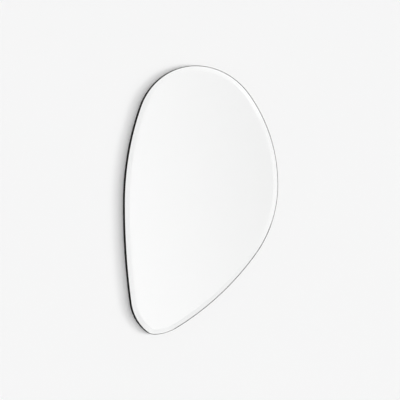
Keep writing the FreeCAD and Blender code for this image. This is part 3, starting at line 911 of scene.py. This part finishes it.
def screw_tree():
    """Sets a threaded countersunk screw with a cross recess at each point."""
    tree, given, result = group_tree(
        "Wood screws",
        "GeometryNodeTree",
        [
            ("Geometry", GEOMETRY, None),
            ("Head radius", FLOAT, 0.003),
            ("Shank radius", FLOAT, 0.0015),
            ("Length", FLOAT, 0.008),
            ("Pitch", FLOAT, 0.0012),
            ("Recess", FLOAT, 0.0033),
            ("Seed", INTEGER, 1),
            ("Material", MATERIAL, None),
        ],
        [("Geometry", GEOMETRY, None)],
    )
    reach = given["Recess"]
    shank_radius = given["Shank radius"]
    head_depth = maths(tree, "SUBTRACT", given["Head radius"], shank_radius)
    head = made(tree, "GeometryNodeMeshCone", {
        "Vertices": 48, "Fill Segments": 1, "Radius Bottom": given["Head radius"],
        "Radius Top": shank_radius, "Depth": head_depth,
    })
    wing_width = times(tree, reach, WING_WIDTH)
    recess_depth = times(tree, head_depth, RECESS_DEPTH)
    for width, height in ((reach, wing_width), (wing_width, reach)):
        size = vector(tree, X=width, Y=height, Z=recess_depth)
        wing = narrowed(tree, made(tree, "GeometryNodeMeshCube", {"Size": size}), recess_depth, WING_TAPER)
        cut = {"Mesh 1": head, "Mesh 2": wing}
        head = made(tree, "GeometryNodeMeshBoolean", cut, operation="DIFFERENCE")

    core_radius = times(tree, shank_radius, CORE_RADIUS)
    body_length = maths(tree, "SUBTRACT", given["Length"], head_depth)
    core = made(tree, "GeometryNodeMeshCylinder", {
        "Vertices": 20, "Side Segments": 16, "Radius": core_radius, "Depth": body_length,
    })
    core_middle = maths(tree, "ADD", head_depth, times(tree, body_length, 0.5))
    thread_length = times(tree, body_length, THREAD_LENGTH)
    helix = made(tree, "GeometryNodeCurveSpiral", {
        "Resolution": 20, "Rotations": maths(tree, "DIVIDE", thread_length, given["Pitch"]),
        "Start Radius": core_radius, "End Radius": core_radius, "Height": thread_length,
    })
    ridge_size = {"Resolution": 3, "Radius": times(tree, shank_radius, RIDGE_RADIUS)}
    ridge = made(tree, "GeometryNodeCurvePrimitiveCircle", ridge_size)
    thread = made(
        tree, "GeometryNodeCurveToMesh", {"Curve": helix, "Profile Curve": ridge, "Fill Caps": True}
    )
    shank = joined(tree, raised(tree, core, core_middle), raised(tree, thread, head_depth))
    placed = made(tree, "GeometryNodeInstanceOnPoints", {
        "Points": given["Geometry"],
        "Instance": joined(tree, head, sharpened(tree, shank, given["Length"])),
        "Rotation": vector(tree, X=math.pi / 2, Y=random_turn(tree, given["Seed"])),
    })
    put_out(tree, result, realized(tree, placed), given["Material"])
    return tree


def random_turn(tree, seed):
    """A random angle for each instance."""
    node = add(tree, "FunctionNodeRandomValue", {"Seed": seed}, data_type="FLOAT")
    low, high = [s for s in node.inputs if s.type == "VALUE"][:2]
    low.default_value = 0.0
    high.default_value = math.tau
    return next(s for s in node.outputs if s.type == "VALUE")


def raised(tree, geometry, height):
    """The geometry, higher."""
    up = vector(tree, Z=height)
    return made(tree, "GeometryNodeTransform", {"Geometry": geometry, "Translation": up})


def point_parts(tree):
    """X, Y and Z of each point, by name."""
    return parts(tree, made(tree, "GeometryNodeInputPosition"))


def moved(tree, geometry, here, **changed):
    """Geometry with its points at here, but for the parts that are changed."""
    place = vector(tree, **{axis: changed.get(axis, here[axis]) for axis in "XYZ"})
    return made(tree, "GeometryNodeSetPosition", {"Geometry": geometry, "Position": place})


def scaled_across(tree, geometry, factor):
    """Geometry with each point's X and Y times a factor, by one number per point."""
    here = point_parts(tree)
    across = {axis: times(tree, here[axis], factor) for axis in "XY"}
    return moved(tree, geometry, here, **across)


def narrowed(tree, geometry, depth, share):
    """A recess wing that is narrower below, by a share of its width over its depth."""
    slope = maths(tree, "DIVIDE", times(tree, point_parts(tree)["Z"], share), depth)
    return scaled_across(tree, geometry, maths(tree, "SUBTRACT", 1.0, slope))


def sharpened(tree, geometry, length):
    """A shank drawn to a point over its last third."""
    left = maths(tree, "SUBTRACT", length, point_parts(tree)["Z"])
    share = maths(tree, "DIVIDE", left, times(tree, length, POINT_LENGTH))
    kept = maths(tree, "MAXIMUM", maths(tree, "MINIMUM", share, 1.0), POINT_WIDTH)
    return scaled_across(tree, geometry, kept)


def make_screws(back):
    """All the wood screws, in the groups that the CAD nodes hold."""
    tree = screw_tree()
    material = zinc_material("yellow_zinc", back.screw_zinc, (1.0, 1.0, 1.0))
    for seed, node in enumerate(SCREWS, start=3):
        low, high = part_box(node)
        points = [(x, high.y, z) for x, z in screw_places(node)]
        mesh = bpy.data.meshes.new(node + "_threaded")
        mesh.from_pydata(points, [], [])
        obj = new_object(node + "_threaded", mesh)
        grow(
            obj, tree, head_radius=back.head_radius, shank_radius=back.shank_radius,
            length=high.y - low.y, pitch=back.pitch, recess=back.recess, seed=seed, material=material,
        )
        shade(obj.data, 30, flat_faces=True)
        mark_edges(obj.data, 60)
        place(obj, material, "screw", node)


# ---------------------------------------------------------------- soft pieces


def nap_tree():
    """Covers felt with short bent fibres."""
    tree, given, result = group_tree(
        "Felt nap",
        "GeometryNodeTree",
        [
            ("Geometry", GEOMETRY, None),
            ("Density", FLOAT, 1e6),
            ("Fibre length", FLOAT, 0.0006),
            ("Fibre radius", FLOAT, 0.00002),
            ("Back", FLOAT, 0.0),
            ("Seed", INTEGER, 1),
            ("Material", MATERIAL, None),
        ],
        [("Geometry", GEOMETRY, None)],
    )
    length = given["Fibre length"]
    spread = {name: given[name] for name in ("Density", "Seed")}
    scatter = add(
        tree, "GeometryNodeDistributePointsOnFaces", {"Mesh": given["Geometry"], **spread},
        distribute_method="RANDOM",
    ).outputs
    # shares of the fibre's length, across and up
    bends = {
        name: vector(tree, X=times(tree, length, across), Z=times(tree, length, up))
        for name, across, up in (("Middle", 0.35, 0.3), ("End", 0.95, 0.12))
    }
    arch = made(
        tree, "GeometryNodeCurveQuadraticBezier", {"Resolution": 3, "Start": (0.0, 0.0, 0.0), **bends}
    )
    fibre_size = {"Resolution": 3, "Radius": given["Fibre radius"]}
    section = made(tree, "GeometryNodeCurvePrimitiveCircle", fibre_size)
    fibre = made(
        tree, "GeometryNodeCurveToMesh", {"Curve": arch, "Profile Curve": section, "Fill Caps": True}
    )
    placed = made(tree, "GeometryNodeInstanceOnPoints", {
        "Points": scatter["Points"], "Instance": fibre, "Rotation": scatter["Rotation"],
    })
    about = vector(tree, Z=random_turn(tree, given["Seed"]))
    spun = made(tree, "GeometryNodeRotateInstances", {"Instances": placed, "Rotation": about})
    covered = realized(tree, joined(tree, given["Geometry"], spun))
    put_out(tree, result, pressed_flat(tree, covered, given["Back"]), given["Material"])
    return tree


def pressed_flat(tree, geometry, back):
    """Geometry with no point behind the wall's plane."""
    here = point_parts(tree)
    return moved(tree, geometry, here, Y=maths(tree, "MINIMUM", here["Y"], back))


def rounded_square(centre, half, radius, y, steps=5):
    """Ring of points of a square with rounded corners."""
    ring = []
    for quarter in range(4):
        corner = math.pi / 4 + quarter * math.pi / 2
        middle = centre + (half - radius) * math.sqrt(2) * outward(corner)
        for step in range(steps + 1):
            x, z = middle + radius * outward(quarter * math.pi / 2 + math.pi / 2 * step / steps)
            ring.append((x, y, z))
    return ring


def make_pads(back):
    """Die-cut felt pads with a short nap."""
    nap = 0.1 * MM
    fray = 0.15 * MM
    tree = nap_tree()
    material = felt_material(back)
    for seed, node in enumerate(PADS, start=11):
        low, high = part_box(node)
        centre = Vector(((low.x + high.x) / 2, (low.z + high.z) / 2))
        half = (high.x - low.x) / 2 - fray
        rings = [
            rounded_square(centre, half - inset, 1.2 * MM - inset, y)
            for inset, y in (
                (0.15 * MM, low.y), (0.0, low.y + 0.15 * MM), (0.0, high.y - nap - 0.15 * MM),
                (0.15 * MM, high.y - nap),
            )
        ]
        obj = new_object(node + "_felt", loft(node + "_felt", rings))
        grow(
            obj, tree, density=4e6, fibre_length=0.8 * MM, fibre_radius=0.02 * MM, back=high.y,
            seed=seed, material=material,
        )
        shade(obj.data, 60)
        place(obj, material, "pad", node)


# Waver of a pressed strip's sides, in radians for each millimetre along it
WAVES = (0.11, 0.047, 0.23)


def pressed_strip(name, low, high, side_bulge, waver, end_radius, seed):
    """Strip pressed between board and silver: flat faces, free sides and rounded ends."""
    chance = random.Random(seed)
    phases = [chance.uniform(0, math.tau) for _ in WAVES]
    middle = (low.x + high.x) / 2
    half = (high.x - low.x) / 2
    depth = high.y - low.y
    length = high.z - low.z
    steps = max(24, round(length / (3 * MM)))
    side_steps = 6
    rings = []
    for step in range(steps + 1):
        # closer together near the ends, where the strip is rounded
        share = 0.5 - 0.5 * math.cos(math.pi * step / steps)
        along = share * length
        from_end = min(along, length - along)
        end = min(1.0, from_end / end_radius)
        rounding = math.sqrt(max(0.0, 1.0 - (1.0 - end) ** 2))
        waves = sum(math.sin(along * k / MM + p) for k, p in zip(WAVES, phases)) / len(WAVES)
        width = max(0.2 * MM, half * rounding * (1.0 - waver * (0.5 + 0.5 * waves)))
        ring = []
        for side in (1, -1):
            for k in range(side_steps + 1):
                share_up = k / side_steps if side > 0 else 1 - k / side_steps
                bulge = side_bulge * (math.sin(math.pi * share_up) - 1.0)
                x = middle + side * max(0.05 * MM, width + min(0.0, bulge))
                ring.append((x, low.y + share_up * depth, low.z + along))
        rings.append(ring)
    return loft(name, rings)


def make_pressed(nodes, suffix, material, slot, **form):
    """Pressed strips for nodes of one kind."""
    for seed, node in enumerate(nodes, start=21):
        low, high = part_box(node)
        mesh = pressed_strip(node + suffix, low, high, seed=seed, **form)
        shade(mesh, 50)
        place(new_object(node + suffix, mesh), material, slot, node)


# ---------------------------------------------------------------- studio

# Grey of the room as it shows in the mirror, by degrees from straight ahead towards +X
ROOM_AROUND = (
    (-180, 240), (-168, 200), (-160, 110), (-150, 110), (-138, 225), (-90, 236), (-45, 236),
    (-12, 240), (4, 236), (12, 250), (18, 255), (22, 251), (27, 245), (34, 246), (45, 252),
    (75, 255), (100, 252), (130, 246), (155, 232), (180, 240),
)
# Share of that grey, by degrees above the horizon
ROOM_UPWARDS = (
    (-90, 0.7), (-40, 0.62), (-15, 0.6), (-9, 1.02), (0, 1.0), (9, 0.985), (16, 1.1), (90, 1.1),
)

# Patches of the room: middle and half size in degrees, around and up, and grey. The softbox
# lights up the upper bevel, and the dark panel shows in the lower bevel's second reflection.
SOFTBOX = ((27, 16.5), (23, 8), 2.6)
DARK_PANEL = ((-8, 24), (20, 13), 0.12)


def ramp(tree, value, stops):
    """Colour ramp over stops of (place from 0 to 1, linear grey)."""
    node = add(tree, "ShaderNodeValToRGB", {"Fac": value})
    elements = node.color_ramp.elements
    elements[0].position, elements[0].color = stops[0][0], (*[stops[0][1]] * 3, 1.0)
    elements[1].position, elements[1].color = stops[-1][0], (*[stops[-1][1]] * 3, 1.0)
    for where, grey in stops[1:-1]:
        elements.new(where).color = (grey, grey, grey, 1.0)
    return node.outputs["Color"]


def patched(tree, shown, angles, patch):
    """The room with an oval patch of one grey, soft at its rim."""
    middle, half_size, grey = patch
    squares = []
    for angle, centre, half in zip(angles, middle, half_size):
        away = maths(tree, "SUBTRACT", angle, math.radians(centre))
        side = maths(tree, "DIVIDE", away, math.radians(half))
        squares.append(times(tree, side, side))
    distance_out = maths(tree, "SQRT", maths(tree, "ADD", *squares))
    return mixed(tree, mapped(tree, distance_out, 1.0, 0.75), shown, [grey] * 3)


def make_world(studio):
    """White to the camera, a pale room to glass and metal, and dim to everything else."""
    world = bpy.data.worlds.new("pale_room")
    bpy.context.scene.world = world
    world.use_nodes = True
    tree = world.node_tree
    direction = parts(tree, add(tree, "ShaderNodeTexCoord").outputs["Generated"])
    around = maths(tree, "ARCTAN2", direction["X"], times(tree, direction["Y"], -1.0))
    upwards = maths(tree, "ARCSINE", direction["Z"])
    base = ramp(
        tree, mapped(tree, around, -math.pi, math.pi),
        [((degrees + 180) / 360, linear(level)) for degrees, level in ROOM_AROUND],
    )
    share = ramp(
        tree, mapped(tree, upwards, -math.pi / 2, math.pi / 2),
        [((degrees + 90) / 180, part) for degrees, part in ROOM_UPWARDS],
    )
    shown = mixed(tree, 1.0, base, share, "MULTIPLY")
    for patch in (SOFTBOX, DARK_PANEL):
        shown = patched(tree, shown, (around, upwards), patch)
    room = tree.nodes["Background"]
    put(tree, room.inputs["Color"], shown)

    flat = linear(studio.backdrop_level)
    seen = made(tree, "ShaderNodeBackground", {"Color": (flat, flat, flat, 1.0)})
    dim = made(
        tree, "ShaderNodeBackground", {"Color": (1.0, 1.0, 1.0, 1.0), "Strength": studio.ambient}
    )
    rays = add(tree, "ShaderNodeLightPath").outputs
    shiny = maths(tree, "MAXIMUM", rays["Is Glossy Ray"], rays["Is Transmission Ray"])
    reflected = mixed_shader(tree, shiny, dim, room.outputs["Background"])
    final = mixed_shader(tree, rays["Is Camera Ray"], reflected, seen)
    put(tree, tree.nodes["World Output"].inputs["Surface"], final)


def backdrop_material(studio):
    """Matt pale paint that only the camera sees, and only from its front."""
    material = bpy.data.materials.new("pale_wall_paint")
    material.use_nodes = True
    tree = material.node_tree
    tree.nodes.remove(tree.nodes["Principled BSDF"])
    flat = linear(studio.backdrop_level)
    paint = made(tree, "ShaderNodeBsdfDiffuse", {"Color": (flat, flat, flat, 1.0)})
    clear = made(tree, "ShaderNodeBsdfTransparent")
    seen = add(tree, "ShaderNodeLightPath").outputs["Is Camera Ray"]
    behind = add(tree, "ShaderNodeNewGeometry").outputs["Backfacing"]
    shows = times(tree, seen, maths(tree, "SUBTRACT", 1.0, behind))
    surface = mixed_shader(tree, shows, clear, paint)
    put(tree, tree.nodes["Material Output"].inputs["Surface"], surface)
    return material


def make_backdrop(studio):
    """Wall, cove and floor in one sheet, its front towards the mirror's side."""
    half_width = reach = 9.0
    wall_top = 5.0
    cove = 0.35
    cove_steps = 16
    behind = 0.2 * MM
    floor = -studio.floor_drop
    profile = [(behind, wall_top)]
    for step in range(cove_steps + 1):
        angle = math.pi / 2 * step / cove_steps
        profile.append((behind - cove + cove * math.cos(angle), floor + cove - cove * math.sin(angle)))
    profile.append((-reach, floor))
    mesh = bpy.data.meshes.new("backdrop")
    points = [(x, y, z) for x in (-half_width, half_width) for y, z in profile]
    count = len(profile)
    faces = [(i, i + count, i + count + 1, i + 1) for i in range(count - 1)]
    mesh.from_pydata(points, [], faces)
    mesh.shade_smooth()
    wall = new_object("backdrop", mesh)
    if mesh.polygons[0].normal.y > 0:
        mesh.flip_normals()
    mesh.materials.append(backdrop_material(studio))


def make_lamp(name, towards, strength, size, shadow):
    """Sun lamp that comes from a direction; the mirror and the metal don't show it."""
    data = bpy.data.lights.new(name, "SUN")
    data.energy = strength
    data.angle = size
    data.use_shadow = shadow
    lamp = bpy.data.objects.new(name, data)
    bpy.context.scene.collection.objects.link(lamp)
    lamp.rotation_mode = "QUATERNION"
    lamp.rotation_quaternion = Vector(towards).to_track_quat("Z", "Y")
    lamp.visible_glossy = False
    lamp.visible_transmission = False


# Where the two lamps behind the mirror's plane come from
BACK_KEY_FROM = (0.5, 0.7, 0.6)
BACK_FILL_FROM = (-0.6, 0.8, 0.1)


def make_lamps(studio):
    """Key lights from the right, even light from ahead and above, and two lamps from behind."""
    keys = (
        ("low_key", studio.low_height, studio.low_size, studio.low_share),
        ("high_key", studio.high_height, studio.high_size, studio.high_share),
        ("near_key", studio.near_height, studio.near_size, studio.near_share),
    )
    for name, height, size, share in keys:
        strength = math.pi * share / math.sin(height)
        level, down = math.cos(studio.key_drop), math.sin(studio.key_drop)
        towards = (math.cos(height) * level, -math.sin(height), -math.cos(height) * down)
        make_lamp(name, towards, strength, size, True)
    rest = studio.wall_light - sum(share for *_, share in keys) - studio.ambient
    level, up = math.cos(studio.ahead_height), math.sin(studio.ahead_height)
    make_lamp("ahead", (0.0, -level, up), math.pi * rest / level, studio.ahead_size, False)
    make_lamp("back_key", BACK_KEY_FROM, studio.back_strength, math.radians(25), True)
    make_lamp("back_fill", BACK_FILL_FROM, studio.back_fill_strength, math.radians(40), False)


def make_camera(studio):
    """Camera at the photograph's angle."""
    data = bpy.data.cameras.new("camera")
    data.sensor_width = 36.0
    data.lens = data.sensor_width * studio.camera_distance / studio.frame_width
    data.clip_start = 0.05
    data.clip_end = 60.0
    camera = bpy.data.objects.new("camera", data)
    bpy.context.scene.collection.objects.link(camera)
    turned = studio.camera_turn
    back = Vector((math.sin(turned), -math.cos(turned), 0.0))
    camera.location = Vector(studio.aim) + studio.camera_distance * back
    camera.rotation_mode = "QUATERNION"
    camera.rotation_quaternion = (-back).to_track_quat("-Z", "Y")
    bpy.context.scene.camera = camera


# ---------------------------------------------------------------- operators


class MIRROR_OT_studio(bpy.types.Operator):
    """Make the wall, floor, lamps, room and camera"""

    bl_idname = "mirror.studio"
    bl_label = "Studio"

    def execute(self, context):
        studio = context.scene.mirror_studio
        context.scene.view_settings.view_transform = "Standard"
        make_backdrop(studio)
        make_lamps(studio)
        make_world(studio)
        make_camera(studio)
        return {"FINISHED"}


class MIRROR_OT_pane(bpy.types.Operator):
    """Make the bevelled glass pane"""

    bl_idname = "mirror.pane"
    bl_label = "Pane"

    def execute(self, context):
        pane = context.scene.mirror_pane
        obj = make_pane(context.scene.mirror_outline, pane)
        place(obj, glass_material(pane), "pane", "mirror_glass")
        return {"FINISHED"}


class MIRROR_OT_silver(bpy.types.Operator):
    """Finish the silver and the paint on the back of the pane"""

    bl_idname = "mirror.silver"
    bl_label = "Silver"

    def execute(self, context):
        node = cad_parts["silver_backing"]
        node.data.materials.clear()
        node.data.materials.append(silver_material(context.scene.mirror_pane))
        return {"FINISHED"}


class MIRROR_OT_band(bpy.types.Operator):
    """Make the black edge band with its welded tabs"""

    bl_idname = "mirror.band"
    bl_label = "Edge band"

    def execute(self, context):
        make_band(context.scene.mirror_outline, context.scene.mirror_band)
        return {"FINISHED"}


class MIRROR_OT_board(bpy.types.Operator):
    """Finish the backing board"""

    bl_idname = "mirror.board"
    bl_label = "Backing board"

    def execute(self, context):
        back = context.scene.mirror_back
        obj = solid_copy("backing_board")
        soften(obj, back.board_edge)
        shade(obj.data, 30, flat_faces=True)
        place(obj, board_material(back), "board", "backing_board")
        return {"FINISHED"}


class MIRROR_OT_plates(bpy.types.Operator):
    """Finish the keyhole hanger plates"""

    bl_idname = "mirror.plates"
    bl_label = "Hanger plates"

    def execute(self, context):
        back = context.scene.mirror_back
        material = zinc_material("bright_zinc", back.zinc, (0.08, 1.0, 1.0))
        for node in PLATES:
            obj = solid_copy(node)
            soften(obj, back.plate_edge, 3)
            shade(obj.data, 30, flat_faces=True)
            mark_edges(obj.data)
            place(obj, material, "plate", node)
        return {"FINISHED"}


class MIRROR_OT_screws(bpy.types.Operator):
    """Make the countersunk wood screws"""

    bl_idname = "mirror.screws"
    bl_label = "Screws"

    def execute(self, context):
        make_screws(context.scene.mirror_back)
        return {"FINISHED"}


class MIRROR_OT_tape(bpy.types.Operator):
    """Make the strips of foam tape"""

    bl_idname = "mirror.tape"
    bl_label = "Foam tape"

    def execute(self, context):
        material = foam_material(context.scene.mirror_back)
        make_pressed(
            TAPES, "_foam", material, "tape", side_bulge=0.12 * MM, waver=0.004, end_radius=0.5 * MM
        )
        return {"FINISHED"}


class MIRROR_OT_adhesive(bpy.types.Operator):
    """Make the pressed beads of adhesive"""

    bl_idname = "mirror.adhesive"
    bl_label = "Adhesive beads"

    def execute(self, context):
        material = adhesive_material(context.scene.mirror_back)
        make_pressed(
            BEADS, "_pressed", material, "adhesive", side_bulge=0.35 * MM, waver=0.25, end_radius=6 * MM
        )
        return {"FINISHED"}


class MIRROR_OT_pads(bpy.types.Operator):
    """Make the felt pads"""

    bl_idname = "mirror.pads"
    bl_label = "Felt pads"

    def execute(self, context):
        make_pads(context.scene.mirror_back)
        return {"FINISHED"}


OPERATORS = (
    MIRROR_OT_studio,
    MIRROR_OT_pane,
    MIRROR_OT_silver,
    MIRROR_OT_band,
    MIRROR_OT_board,
    MIRROR_OT_plates,
    MIRROR_OT_screws,
    MIRROR_OT_tape,
    MIRROR_OT_adhesive,
    MIRROR_OT_pads,
)


class MIRROR_PT_panel(bpy.types.Panel):
    """Sidebar panel with the mirror's pieces"""

    bl_idname = "MIRROR_PT_panel"
    bl_label = "Irregular mirror"
    bl_space_type = "VIEW_3D"
    bl_region_type = "UI"
    bl_category = "Mirror"

    def draw(self, context):
        for operator in OPERATORS:
            self.layout.operator(operator.bl_idname, text=operator.bl_label)
        for name, group in SETTINGS.items():
            box = self.layout.box()
            box.label(text=group.__doc__.split(".")[0].split(":")[0])
            for prop in group.__annotations__:
                box.prop(getattr(context.scene, name), prop)


def register():
    for group in SETTINGS.values():
        bpy.utils.register_class(group)
    for name, group in SETTINGS.items():
        setattr(bpy.types.Scene, name, bpy.props.PointerProperty(type=group))
    for cls in (*OPERATORS, MIRROR_PT_panel):
        bpy.utils.register_class(cls)


def unregister():
    for cls in (MIRROR_PT_panel, *reversed(OPERATORS)):
        bpy.utils.unregister_class(cls)
    for name in SETTINGS:
        delattr(bpy.types.Scene, name)
    for group in reversed(SETTINGS.values()):
        bpy.utils.unregister_class(group)


def main():
    register()
    for operator in OPERATORS:
        area, name = operator.bl_idname.split(".")
        getattr(getattr(bpy.ops, area), name)()


if __name__ == "__main__":
    main()
